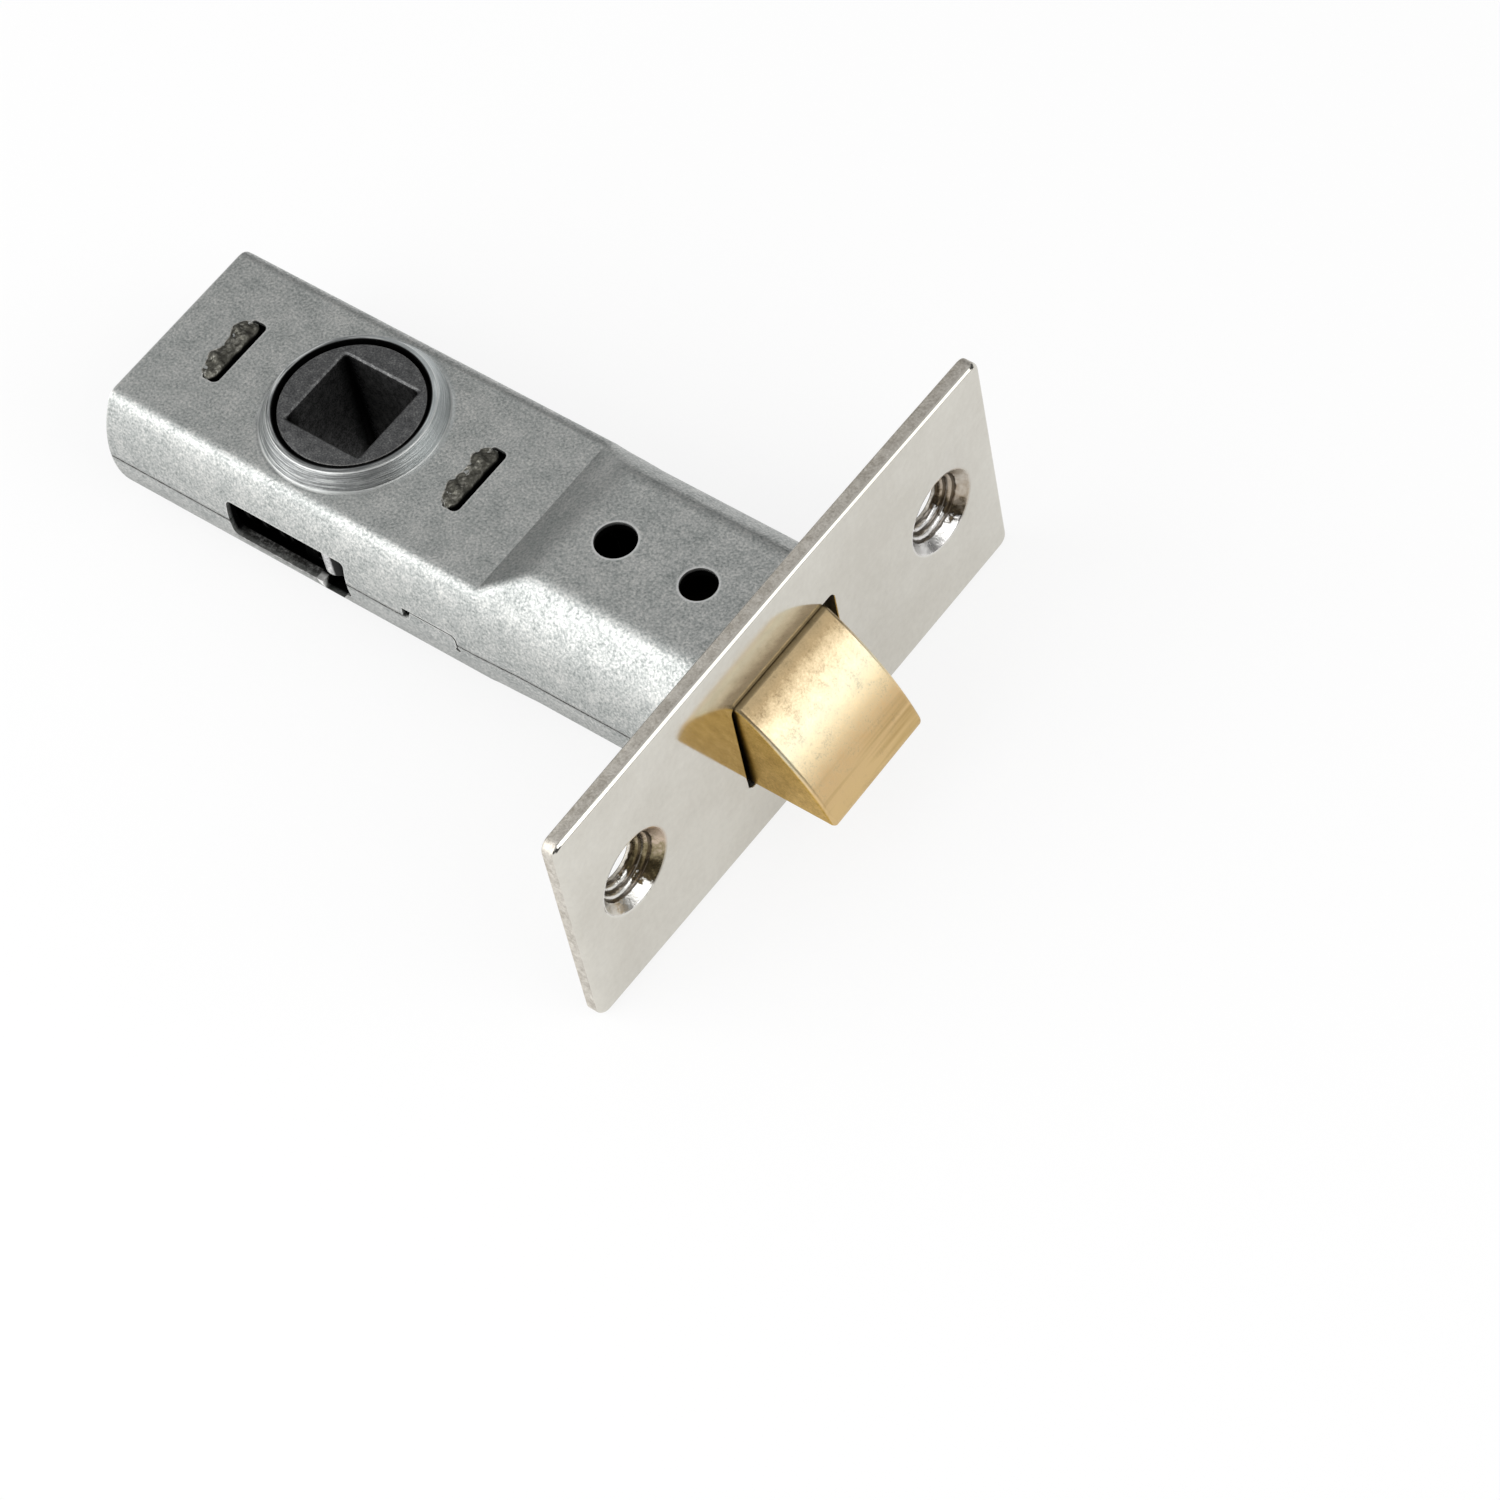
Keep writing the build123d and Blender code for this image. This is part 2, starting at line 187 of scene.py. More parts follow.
def from_axis(tree, place, across, centre=(0.0, 0.0, 0.0)):
    """How far a place lies from an axis through the centre, measured across it."""
    offset = add(tree, "ShaderNodeVectorMath", {0: place, 1: centre}, operation="SUBTRACT")
    flattened = add(tree, "ShaderNodeVectorMath", {
        0: offset.outputs[0], 1: across}, operation="MULTIPLY")
    return add(tree, "ShaderNodeVectorMath", {
        0: flattened.outputs[0]}, operation="LENGTH").outputs["Value"]


def new_group(name, inputs, outputs):
    """A shader node group of plain numbers: the tree, its input node and its output node."""
    tree = bpy.data.node_groups.new(name, "ShaderNodeTree")
    for socket_name, value in inputs.items():
        socket = tree.interface.new_socket(
            socket_name, in_out="INPUT", socket_type="NodeSocketFloat")
        socket.default_value = value
    for socket_name in outputs:
        tree.interface.new_socket(socket_name, in_out="OUTPUT", socket_type="NodeSocketFloat")
    return tree, tree.nodes.new("NodeGroupInput"), tree.nodes.new("NodeGroupOutput")


def place_group(tree, group, **inputs):
    """A group placed in a material, with its values."""
    made = tree.nodes.new("ShaderNodeGroup")
    made.node_tree = group
    for key, value in inputs.items():
        made.inputs[key].default_value = value
    return made.outputs


def new_metal(name):
    """A metal with its own Principled shader: the material, its tree and that shader."""
    material = bpy.data.materials.new(name)
    material.use_nodes = True
    shader = material.node_tree.nodes["Principled BSDF"]
    shader.inputs["Metallic"].default_value = 1.0
    return material, material.node_tree, shader


def finish_metal(tree, shader, tone, rough, relief, strength, depth_mm):
    """Gives a metal its colour, its roughness and the relief of its surface."""
    tree.links.new(tone, shader.inputs["Base Color"])
    if isinstance(rough, float):
        shader.inputs["Roughness"].default_value = rough
    else:
        tree.links.new(rough, shader.inputs["Roughness"])
    bump = add(tree, "ShaderNodeBump", {
        "Height": relief, "Strength": strength, "Distance": depth_mm * MM})
    tree.links.new(bump.outputs[0], shader.inputs["Normal"])


# Blotches and fine specks of a plated or cast metal, at two sizes given per millimetre.
mottle, source, sink = new_group(
    "plating_mottle", {"Blotches": 1.0, "Specks": 4.0, "Share": 0.5}, ["Tone", "Height"])
place = latch_place(mottle)
blotch_size, speck_size = (
    calc(mottle, "MULTIPLY", source.outputs[key], 1 / MM) for key in ("Blotches", "Specks"))
both = add(mottle, "ShaderNodeMix", {
    0: source.outputs["Share"], 2: spots(mottle, place, blotch_size, 5.0, 0.62),
    3: spots(mottle, place, speck_size, 3.0, 0.7)}).outputs[0]
mottle.links.new(fade(mottle, both, 0.36, 0.64), sink.inputs["Tone"])
mottle.links.new(both, sink.inputs["Height"])

# Edges lightened as wear and as a painted highlight: 1 where the surface turns sharply within a
# reach in millimetres, 0 on plain faces.
edge_wear_and_highlight, source, sink = new_group("edge_wear_and_highlight_mask", {"Reach": 0.3}, ["Mask"])
reach = calc(edge_wear_and_highlight, "MULTIPLY", source.outputs["Reach"], MM)
turned = add(edge_wear_and_highlight, "ShaderNodeBevel", {"Radius": reach}, samples=6).outputs["Normal"]
plain = add(edge_wear_and_highlight, "ShaderNodeNewGeometry").outputs["Normal"]
agree = add(edge_wear_and_highlight, "ShaderNodeVectorMath", {0: turned, 1: plain}, operation="DOT_PRODUCT")
edge_wear_and_highlight.links.new(fade(edge_wear_and_highlight, agree.outputs["Value"], 0.995, 0.9), sink.inputs["Mask"])

# Painted shade inside the case: 0 on the case's outer skin, 1 on whatever lies deeper under it,
# between two depths in millimetres. The case's flats step up between two stations, its sides are
# round, and whatever stands out of the faceplate is outside.
REAR_FLAT, FRONT_FLAT, SIDE_RADIUS = 6.45, 8.75, 11.0
STEP_REAR, STEP_FRONT, FACE_X = 20.3, 25.4, 45.1
inside, source, sink = new_group("dark_inside", {"Start": 0.35, "Full": 0.75}, ["Mask"])
place = latch_place(inside)
split = axes_of(inside, place)
flat_height = fade(inside, split["X"], STEP_REAR * MM, STEP_FRONT * MM,
                   REAR_FLAT * MM, FRONT_FLAT * MM)
under_flat = calc(inside, "SUBTRACT", flat_height, calc(inside, "ABSOLUTE", split["Z"]))
under_side = calc(inside, "SUBTRACT", SIDE_RADIUS * MM, from_axis(inside, place, (0.0, 1.0, 1.0)))
depth = calc(inside, "MINIMUM", under_flat, under_side)
start, full = (calc(inside, "MULTIPLY", source.outputs[key], MM) for key in ("Start", "Full"))
behind_face = fade(inside, split["X"], (FACE_X + 0.2) * MM, (FACE_X - 0.3) * MM)
sunk = product(inside, fade(inside, depth, start, full), behind_face)
inside.links.new(sunk, sink.inputs["Mask"])

zinc, tree, shader = new_metal("zinc_plate")
cloud = place_group(tree, mottle, Blotches=0.45, Specks=4.2, Share=0.72)
tone = ramp(tree, cloud["Tone"], [
    (0.0, (0.27, 0.29, 0.28)), (0.45, (0.445, 0.46, 0.45)), (1.0, (0.68, 0.68, 0.655))])
# Its edges are lightened, partly as wear and partly as a painted highlight.
worn_and_highlit = place_group(tree, edge_wear_and_highlight, Reach=0.3)["Mask"]
tone = blend_colour(tree, product(tree, worn_and_highlit, 0.55), tone, (0.80, 0.80, 0.78))

# The sides are painted darker downwards as painted shade, and grime lies in the seam between the
# shells, but not at the tab.
TAB_MIDDLE, TAB_HALF = 15.7, 2.7
place = latch_place(tree)
split = axes_of(tree, place)
height = calc(tree, "ABSOLUTE", split["Z"])
sideways = calc(tree, "ABSOLUTE", split["Y"])
low = fade(tree, split["Z"], 0.0, -4.0 * MM, 0.0, 0.3)
tone = blend_colour(tree, low, tone, (0.12, 0.12, 0.11))
outer = fade(tree, sideways, (SIDE_RADIUS - 1.0) * MM, (SIDE_RADIUS - 0.6) * MM)
by_seam = fade(tree, height, 0.34 * MM, 0.1 * MM)
from_tab = calc(tree, "ABSOLUTE", calc(tree, "SUBTRACT", split["X"], TAB_MIDDLE * MM))
off_tab = fade(tree, from_tab, TAB_HALF * MM, (TAB_HALF + 0.2) * MM)
seam = product(tree, outer, off_tab, by_seam, cloud["Tone"])
tone = blend_colour(tree, seam, tone, (0.06, 0.06, 0.055))

# Drawing up the collar left fine rings on its cone. One side of the cone is painted dark as painted
# shade and the other pale as a painted highlight; a bright line round its foot and another round
# its rim are painted highlights.
COLLAR_FOOT, FOOT_LINE, RIM_LINE = 8.45, 8.27, 7.36
RINGS_PER_METRE, RING_BREAKS = 5200.0, 2.2
radius = from_axis(tree, place, (1.0, 1.0, 0.0))
ring_place = add(tree, "ShaderNodeCombineXYZ", {
    "X": product(tree, calc(tree, "SUBTRACT", radius, height), RINGS_PER_METRE),
    "Y": product(tree, calc(tree, "ARCTAN2", split["Y"], split["X"]), RING_BREAKS)}).outputs[0]
rings = spots(tree, ring_place, 1.0, 3.0)
by_collar = fade(tree, radius, (COLLAR_FOOT + 0.3) * MM, COLLAR_FOOT * MM)
above_flat = fade(tree, height, (REAR_FLAT - 0.05) * MM, (REAR_FLAT + 0.05) * MM)
drawn = product(tree, by_collar, above_flat)
ring_tone = ramp(tree, rings, [
    (0.36, (0.15, 0.16, 0.16)), (0.50, (0.33, 0.345, 0.35)), (0.64, (0.80, 0.82, 0.81))])
# Painted shade darkens one side of the cone and a painted highlight lightens the other.
for way, side_tone in (("SUBTRACT", (0.07, 0.07, 0.07)), ("ADD", (0.74, 0.80, 0.81))):
    that_side = fade(tree, calc(tree, way, split["X"], split["Y"]), 3.0 * MM, 9.0 * MM)
    ring_tone = blend_colour(tree, product(tree, that_side, 0.5), ring_tone, side_tone)
tone = blend_colour(tree, product(tree, drawn, 0.85), tone, ring_tone)
# Painted highlights: a bright line round the collar's foot and another round its rim.
for line_radius, half_width in ((FOOT_LINE, 0.07), (RIM_LINE, 0.05)):
    off_line = calc(tree, "ABSOLUTE", calc(tree, "SUBTRACT", radius, line_radius * MM))
    line = fade(tree, off_line, half_width * MM, half_width * 0.4 * MM)
    tone = blend_colour(tree, product(tree, line, above_flat, 0.8), tone, (0.82, 0.83, 0.82))

# The two round holes, at their stations and radii, get a thin bright rim as a painted highlight.
for hole_x, hole_radius in ((28.5, 1.87), (37.1, 1.67)):
    from_hole = from_axis(tree, place, (1.0, 1.0, 0.0), (hole_x * MM, 0.0, 0.0))
    rim = fade(tree, from_hole, (hole_radius + 0.24) * MM, (hole_radius + 0.14) * MM)
    tone = blend_colour(tree, product(tree, rim, above_flat, 0.55), tone, (0.80, 0.81, 0.80))

# The collar's bore and the inside of the shells are painted dark as painted shade.
COLLAR_BORE = 6.9
in_bore = fade(tree, radius, (COLLAR_BORE + 0.1) * MM, COLLAR_BORE * MM)
gloom = calc(tree, "MAXIMUM", in_bore, place_group(tree, inside, Start=0.16, Full=0.4)["Mask"])
tone = blend_colour(tree, gloom, tone, (0.012, 0.012, 0.012))

# The rear corner of the scoop, under the front end of the side slot, is painted bright.
SCOOP_CORNER = 2.9
from_corner = calc(tree, "ABSOLUTE", calc(tree, "SUBTRACT", split["X"], SCOOP_CORNER * MM))
by_corner = fade(tree, from_corner, 0.5 * MM, 0.35 * MM)
under_slot = fade(tree, split["Z"], -1.5 * MM, -1.8 * MM)
tone = blend_colour(tree, product(tree, by_corner, under_slot, outer), tone, (0.92, 0.92, 0.90))

# The lower lip of the side slot is left rough and dirty, with glints painted in as painted
# highlights.
SLOT_HALF, SLOT_FLOOR, LIP_FOOT = 7.4, -1.9, -4.2
along_slot = fade(tree, calc(tree, "ABSOLUTE", split["X"]), SLOT_HALF * MM, (SLOT_HALF - 1.8) * MM)
lip_top = fade(tree, split["Z"], SLOT_FLOOR * MM, (SLOT_FLOOR - 0.3) * MM)
lip_foot = fade(tree, split["Z"], LIP_FOOT * MM, (LIP_FOOT + 1.8) * MM)
in_wall = fade(tree, sideways, 9.7 * MM, 9.95 * MM)
off_corner = calc(tree, "SUBTRACT", 1.0, by_corner)
lip = product(tree, along_slot, lip_top, lip_foot, in_wall, off_corner, 0.8)
lip_tone = ramp(tree, spots(tree, place, 2600.0, 3.0, 0.7), [
    (0.40, (0.11, 0.11, 0.10)), (0.52, (0.26, 0.26, 0.25)), (0.66, (0.78, 0.78, 0.76))])
tone = blend_colour(tree, lip, tone, lip_tone)

# Where that painted shade lies, the reflections are darkened too, as painted shade.
tint = blend_colour(tree, gloom, (1.0, 1.0, 1.0), (0.0, 0.0, 0.0))
tree.links.new(tint, shader.inputs["Specular Tint"])
rough = fade(tree, cloud["Tone"], 0.0, 1.0, 0.54, 0.38)
relief = calc(tree, "ADD", cloud["Height"], product(tree, drawn, rings))
finish_metal(tree, shader, tone, rough, relief, 0.6, 0.08)

for node in ("case_bottom_shell", "case_top_shell"):
    shell = solid_copy(node, node + "_pressed")
    round_rims(shell, 0.1)
    give(shell, zinc, "case", "case_steel", node)


# Cross plates: two sheared plates that tie the shells together. Each has a tab through a slot above
# and below, and the end of every tab was struck with a punch in two places, which spread the metal
# into two rough lumps that grip the slot.

sheared, tree, shader = new_metal("sheared_steel")
cloud = place_group(tree, mottle, Blotches=1.1, Specks=3.2, Share=0.4)
tone = ramp(tree, cloud["Tone"], [
    (0.0, (0.055, 0.052, 0.044)), (0.6, (0.11, 0.107, 0.09)), (1.0, (0.34, 0.33, 0.29))])
# Its edges and the ridges of the struck ends are lightened, partly as wear and partly as painted
# glints.
worn_and_highlit = place_group(tree, edge_wear_and_highlight, Reach=0.2)["Mask"]
tone = blend_colour(tree, product(tree, worn_and_highlit, 0.7), tone, (0.76, 0.75, 0.70))
# Where it lies inside the case it is painted dark as painted shade.
gloom = place_group(tree, inside, Start=0.12, Full=0.38)["Mask"]
tone = blend_colour(tree, gloom, tone, (0.012, 0.012, 0.012))
rough = fade(tree, cloud["Tone"], 0.0, 1.0, 0.6, 0.38)
finish_metal(tree, shader, tone, rough, cloud["Height"], 0.8, 0.12)


def struck_end(x_mm, side, seed):
    """The struck end of one tab: a rounded bar with two ridges spread rearwards, in millimetres."""
    half_length, end_radius = 3.45, 0.9
    spill_at, spill_width = (2.0, -1.2), 0.85
    ridge_at, ridge_width = (1.8, -1.45), 0.42
    rows, columns = 90, 34
    work = bmesh.new()
    grid = []
    for i in range(rows + 1):
        y = (i / rows * 2 - 1) * half_length
        past_middle = max(0.0, (abs(y) - half_length + end_radius) / end_radius)
        end = max(0.35, math.sqrt(max(0.0, 1 - past_middle ** 2)))
        spill = sum(math.exp(-((y - at) / spill_width) ** 2) for at in spill_at)
        # The bar spills rearwards over the slot's edge in two places, and its edges wander.
        sway = 0.16 * noise.noise(Vector((y * 1.3, seed, 1.0)))
        middle = x_mm + 0.3
        rear = middle - (0.92 + 0.50 * spill + sway) * end
        front = middle + (0.66 + 0.6 * sway) * end
        line = []
        for j in range(columns + 1):
            across = j / columns
            x = rear + (front - rear) * across
            # It is rounded across, rises along the ridges and has a rough skin.
            brow = math.sqrt(max(0.0, 1 - (across * 2 - 1) ** 4)) * end
            slanted = y + 0.3 * (x - x_mm)
            ridge = sum(math.exp(-((slanted - at) / ridge_width) ** 2) for at in ridge_at)
            rough = noise.fractal(Vector((x * 1.7, y * 1.5, seed)), 0.8, 2.1, 4)
            rise = -0.38 + (0.40 + 0.26 * ridge + 0.12 * rough) * brow
            # What lies on the case keeps above the case's own skin.
            if x < x_mm - 0.05:
                rise = max(rise, 0.05 + 0.12 * rough)
            line.append(work.verts.new((x * MM, y * MM, side * (REAR_FLAT + rise) * MM)))
        grid.append(line)
    for i in range(rows):
        for j in range(columns):
            work.faces.new((grid[i][j], grid[i + 1][j], grid[i + 1][j + 1], grid[i][j + 1]))
    # A skirt closes it downwards, deeper in the slot than on the case.
    rim = [e for e in work.edges if e.is_boundary]
    skirt = bmesh.ops.extrude_edge_only(work, edges=rim)["geom"]
    for vertex in (g for g in skirt if isinstance(g, bmesh.types.BMVert)):
        root = 0.5 if vertex.co.x < x_mm * MM else 1.2
        vertex.co.z = side * (REAR_FLAT - root) * MM
    bmesh.ops.holes_fill(work, edges=[e for e in work.edges if e.is_boundary], sides=0)
    bmesh.ops.recalc_face_normals(work, faces=work.faces)
    mesh = bpy.data.meshes.new("struck_end")
    work.to_mesh(mesh)
    work.free()
    smooth(mesh, 50)
    return mesh


# The plates' own tab ends are lowered, to lie hidden under the struck ones.
TAB_ENDS_ABOVE, LOWERED_TAB = 6.0, 5.55
for node, slot_x in (("front_cross_plate", 12.3), ("rear_cross_plate", -14.2)):
    plate = solid_copy(node, node + "_sheared")
    for vertex in plate.data.vertices:
        if abs(vertex.co.z) > TAB_ENDS_ABOVE * MM:
            vertex.co.z = math.copysign(LOWERED_TAB * MM, vertex.co.z)
    round_rims(plate, 0.06)
    give(plate, sheared, "case", "plate_steel", node)
    for side, name in ((1, "top"), (-1, "under")):
        end = put(f"{node}_{name}_stake", struck_end(slot_x, side, slot_x + side * 3.7))
        give(end, sheared, "case", "plate_steel")


# Follower: a steel drum with a square hole broached through it and two horns. It is left dark and
# oily from hardening, with a fine grain, painted shade in its socket and on the front of its horns,
# and lighter edges where the spindle goes in, partly worn and partly a painted highlight.

DRUM_FACE, HORN_ROOT, HORN_TIP, HORN_MIDDLE = 7.93, 9.2, 10.0, 4.2
SOCKET_WALL, SOCKET_CORNER = 4.8, 5.6
hardened, tree, shader = new_metal("hardened_steel")
cloud = place_group(tree, mottle, Blotches=1.4, Specks=6.0, Share=0.65)
tone = ramp(tree, cloud["Tone"], [
    (0.0, (0.06, 0.06, 0.062)), (0.6, (0.132, 0.134, 0.135)), (1.0, (0.25, 0.25, 0.245))])
place = latch_place(tree)
split = axes_of(tree, place)
radius = from_axis(tree, place, (1.0, 1.0, 0.0))
horn_end = fade(tree, radius, HORN_ROOT * MM, HORN_TIP * MM)
below_face = fade(tree, calc(tree, "ABSOLUTE", split["Z"]), DRUM_FACE * MM, 7.5 * MM)
sunk = product(tree, below_face, calc(tree, "SUBTRACT", 1.0, horn_end))

# The socket's walls are dimmed, and its tight corners painted black, both as painted shade.
tone = blend_colour(tree, sunk, tone, ramp(tree, cloud["Tone"], [(0.2, 0.05), (1.0, 0.24)]))
corner = product(tree, fade(tree, radius, SOCKET_WALL * MM, SOCKET_CORNER * MM), sunk)
tone = blend_colour(tree, corner, tone, (0.006, 0.006, 0.006))
tint = blend_colour(tree, sunk, (1.0, 1.0, 1.0), (0.5, 0.5, 0.5))
tint = blend_colour(tree, corner, tint, (0.0, 0.0, 0.0))
tree.links.new(tint, shader.inputs["Specular Tint"])
# The edges round the spindle hole are lightened, partly as wear and partly as a painted highlight.
worn_and_highlit = place_group(tree, edge_wear_and_highlight, Reach=0.13)["Mask"]
on_face = calc(tree, "SUBTRACT", 1.0, below_face)
tone = blend_colour(tree, product(tree, worn_and_highlit, on_face, 0.5), tone, (0.60, 0.58, 0.54))

# The rear half of each horn's tip is painted lighter, and the front half black as painted shade.
ragged = calc(tree, "ADD", split["X"], product(tree, cloud["Height"], 0.5 * MM))
front_half = fade(tree, ragged, (HORN_MIDDLE - 0.1) * MM, (HORN_MIDDLE + 0.1) * MM)
tip_tone = ramp(tree, cloud["Tone"], [(0.0, 0.35), (1.0, 0.9)])
tip_tone = blend_colour(tree, front_half, tip_tone, (0.02, 0.02, 0.02))
tone = blend_colour(tree, horn_end, tone, tip_tone)
finish_metal(tree, shader, tone, 0.5, cloud["Height"], 0.45, 0.05)

drum = solid_copy("follower", "follower_drum")
round_rims(drum, 0.09, inner_corners=False)
give(drum, hardened, "follower", "follower_steel", "follower")


# Yoke: one strip of 1 mm sheet steel, folded to leave a bar for the bolt spring, windowed for the
# horns and hooked at the front. It slides inside the case, as dark with oil as the cross plates,
# and is painted darker still as painted shade deep inside the case.

slide = solid_copy("yoke", "yoke_folded")
round_rims(slide, 0.08)
give(slide, sheared, "yoke", "plate_steel", "yoke")


# Lever springs: two small coils between the rear cross plate and the yoke's legs, wound from drawn
# wire with closed ends. In the latch they shorten as the follower draws the yoke back; here they
# stay rigid and ride on the case.

wire, tree, shader = new_metal("spring_wire")
cloud = place_group(tree, mottle, Blotches=2.5, Specks=9.0, Share=0.5)
tone = ramp(tree, cloud["Tone"], [(0.0, (0.26, 0.26, 0.27)), (1.0, (0.50, 0.50, 0.50))])
# Where it lies inside the case the wire is painted dark as painted shade, its reflections too.
gloom = place_group(tree, inside, Start=0.1, Full=0.5)["Mask"]
tone = blend_colour(tree, gloom, tone, (0.015, 0.015, 0.015))
tree.links.new(tone, shader.inputs["Base Color"])
tint = blend_colour(tree, gloom, (1.0, 1.0, 1.0), (0.05, 0.05, 0.05))
tree.links.new(tint, shader.inputs["Specular Tint"])
shader.inputs["Roughness"].default_value = 0.33


def coil(name, start_mm, end_mm, y_mm, radius_mm, wire_mm, turns, closed=(True, True)):
    """A round-wire coil from back to front. A closed end winds its last turn tight and flat."""
    tight = wire_mm * 1.03
    ends = closed[0] + closed[1]
    pitch = (end_mm - start_mm - wire_mm * ends / 2 - ends * tight) / (turns - ends)
    curve = bpy.data.curves.new(name, "CURVE")
    curve.dimensions = "3D"
    curve.bevel_depth = wire_mm / 2 * MM
    curve.bevel_resolution = 3
    curve.use_fill_caps = True
    steps = round(turns * 28)
    line = curve.splines.new("POLY")
    line.points.add(steps)
    x = start_mm + (wire_mm / 2 if closed[0] else 0)
    for i in range(steps + 1):
        turn = i * turns / steps
        angle = 2 * math.pi * turn
        point = (x, y_mm + radius_mm * math.cos(angle), radius_mm * math.sin(angle))
        line.points[i].co = (*(Vector(point) * MM), 1)
        in_closed = (closed[0] and turn < 1) or (closed[1] and turn >= turns - 1)
        x += (tight if in_closed else pitch) * turns / steps
    bent = put(name, curve)
    mesh = bpy.data.meshes.new_from_object(bent)
    mesh.polygons.foreach_set("use_smooth", [True] * len(mesh.polygons))
    bpy.data.objects.remove(bent)
    return put(name, mesh)


lever_rear, lever_front = -12.98, -0.22
for node, y_mm in (("lever_spring_near", -8.5), ("lever_spring_far", 8.5)):
    small_coil = coil(
        node + "_coil", lever_rear, lever_front, y_mm, radius_mm=1.2, wire_mm=0.42, turns=8)
    give(small_coil, wire, "case", "spring_steel", node)
    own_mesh(small_coil)


# Bolt spring: one coil from the front cross plate to the bolt's washer, through the hole in the
# yoke's bar, drawn as two rigid parts: the turns behind the bar ride on the case, those in front of
# it on the yoke. In the latch the part behind the bar shortens as the yoke comes back, and the part
# in front of it as the bolt is pushed in.

SPRING_REAR, BAR_X, SPRING_FRONT, SPRING_Y = 13.55, 22.8, 31.95, -0.33
bolt_wire = {"radius_mm": 2.9, "wire_mm": 0.7, "turns": 5}
rear_coil = coil(
    "bolt_spring_rear_turns", SPRING_REAR, BAR_X, SPRING_Y, **bolt_wire, closed=(True, False))
give(rear_coil, wire, "case", "spring_steel", "bolt_spring")
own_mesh(rear_coil)
front_coil = coil(
    "bolt_spring_front_turns", BAR_X, SPRING_FRONT, SPRING_Y, **bolt_wire, closed=(False, True))
give(front_coil, wire, "yoke", "spring_steel", "bolt_spring")
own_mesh(front_coil)


# Bolt tail and washer: a strip of sheared steel let into the back of the bolt, which the yoke's
# hooks catch, and a plain steel washer that the bolt spring bears on.

for node, rim in (("bolt_tail", 0.06), ("spring_washer", 0.08)):
    part = solid_copy(node, node + "_finished")
    round_rims(part, rim)
    give(part, sheared, "bolt", "plate_steel", node)


# Latch bolt: cut from drawn brass bar and polished on the bevel, with a brass pin across it that
# holds the tail. The drawn sides stay duller. The bevel's pale cream middle is partly polish and
# partly a painted highlight, its dark foot is painted shade, and it is darker again at its tip.

brass, tree, shader = new_metal("drawn_brass")
cloud = place_group(tree, mottle, Blotches=0.8, Specks=4.6, Share=0.5)
split = axes_of(tree, latch_place(tree))
BEVEL_FOOT, BEVEL_TIP = 45.0, 53.4
wander = product(tree, calc(tree, "SUBTRACT", cloud["Height"], 0.5), 2.6 * MM)
along = fade(tree, calc(tree, "ADD", split["X"], wander), BEVEL_FOOT * MM, BEVEL_TIP * MM)
# Along the bevel: painted shade at the foot, a pale cream middle partly as polish and partly as a
# painted highlight, and darker tan at the tip.
bevel_tone = ramp(tree, along, [
    (0.0, (0.36, 0.28, 0.16)), (0.16, (0.42, 0.31, 0.17)), (0.34, (0.78, 0.64, 0.42)),
    (0.52, (0.88, 0.80, 0.57)), (0.72, (0.90, 0.70, 0.41)), (0.86, (0.86, 0.58, 0.28)),
    (1.0, (0.69, 0.465, 0.19))])
grain = ramp(tree, cloud["Tone"], [(0.0, 0.74), (0.35, 0.93), (1.0, 1.0)])
bevel_tone = blend_colour(tree, 1.0, bevel_tone, grain, mode="MULTIPLY")

# Fine marks from cutting run along the tip.
MARKS_PER_METRE, MARK_BREAKS = 2400.0, 45.0
mark_place = add(tree, "ShaderNodeCombineXYZ", {
    "X": product(tree, split["X"], MARKS_PER_METRE),
    "Y": product(tree, split["Y"], MARK_BREAKS)}).outputs[0]
mark_tone = ramp(tree, spots(tree, mark_place, 1.0, 2.0), [
    (0.40, (0.36, 0.25, 0.10)), (0.52, (0.66, 0.50, 0.27))])
near_tip = fade(tree, split["X"], (BEVEL_TIP - 2.0) * MM, (BEVEL_TIP - 1.0) * MM)
bevel_tone = blend_colour(tree, product(tree, near_tip, 0.55), bevel_tone, mark_tone)
# Its edges are lightened, partly as wear and partly as a painted highlight.
worn_and_highlit = place_group(tree, edge_wear_and_highlight, Reach=0.35)["Mask"]
bevel_tone = blend_colour(tree, product(tree, worn_and_highlit, 0.4), bevel_tone, (0.86, 0.72, 0.44))

facing = axes_of(tree, add(tree, "ShaderNodeNewGeometry").outputs["Normal"])
side_face = fade(tree, calc(tree, "ABSOLUTE", facing["Y"]), 0.75, 0.95)
side_tone = ramp(tree, cloud["Tone"], [
    (0.0, (0.42, 0.26, 0.055)), (0.5, (0.55, 0.345, 0.075)), (1.0, (0.67, 0.44, 0.12))])
tone = blend_colour(tree, side_face, bevel_tone, side_tone)
# Inside the case the brass is painted dark as painted shade.
gloom = place_group(tree, inside, Start=0.2, Full=0.8)["Mask"]
tone = blend_colour(tree, product(tree, gloom, 0.9), tone, (0.01, 0.008, 0.004))
rough = fade(tree, cloud["Tone"], 0.0, 1.0, 0.40, 0.28)
finish_metal(tree, shader, tone, rough, cloud["Height"], 0.5, 0.04)

bolt = solid_copy("latch_bolt", "latch_bolt_brass")
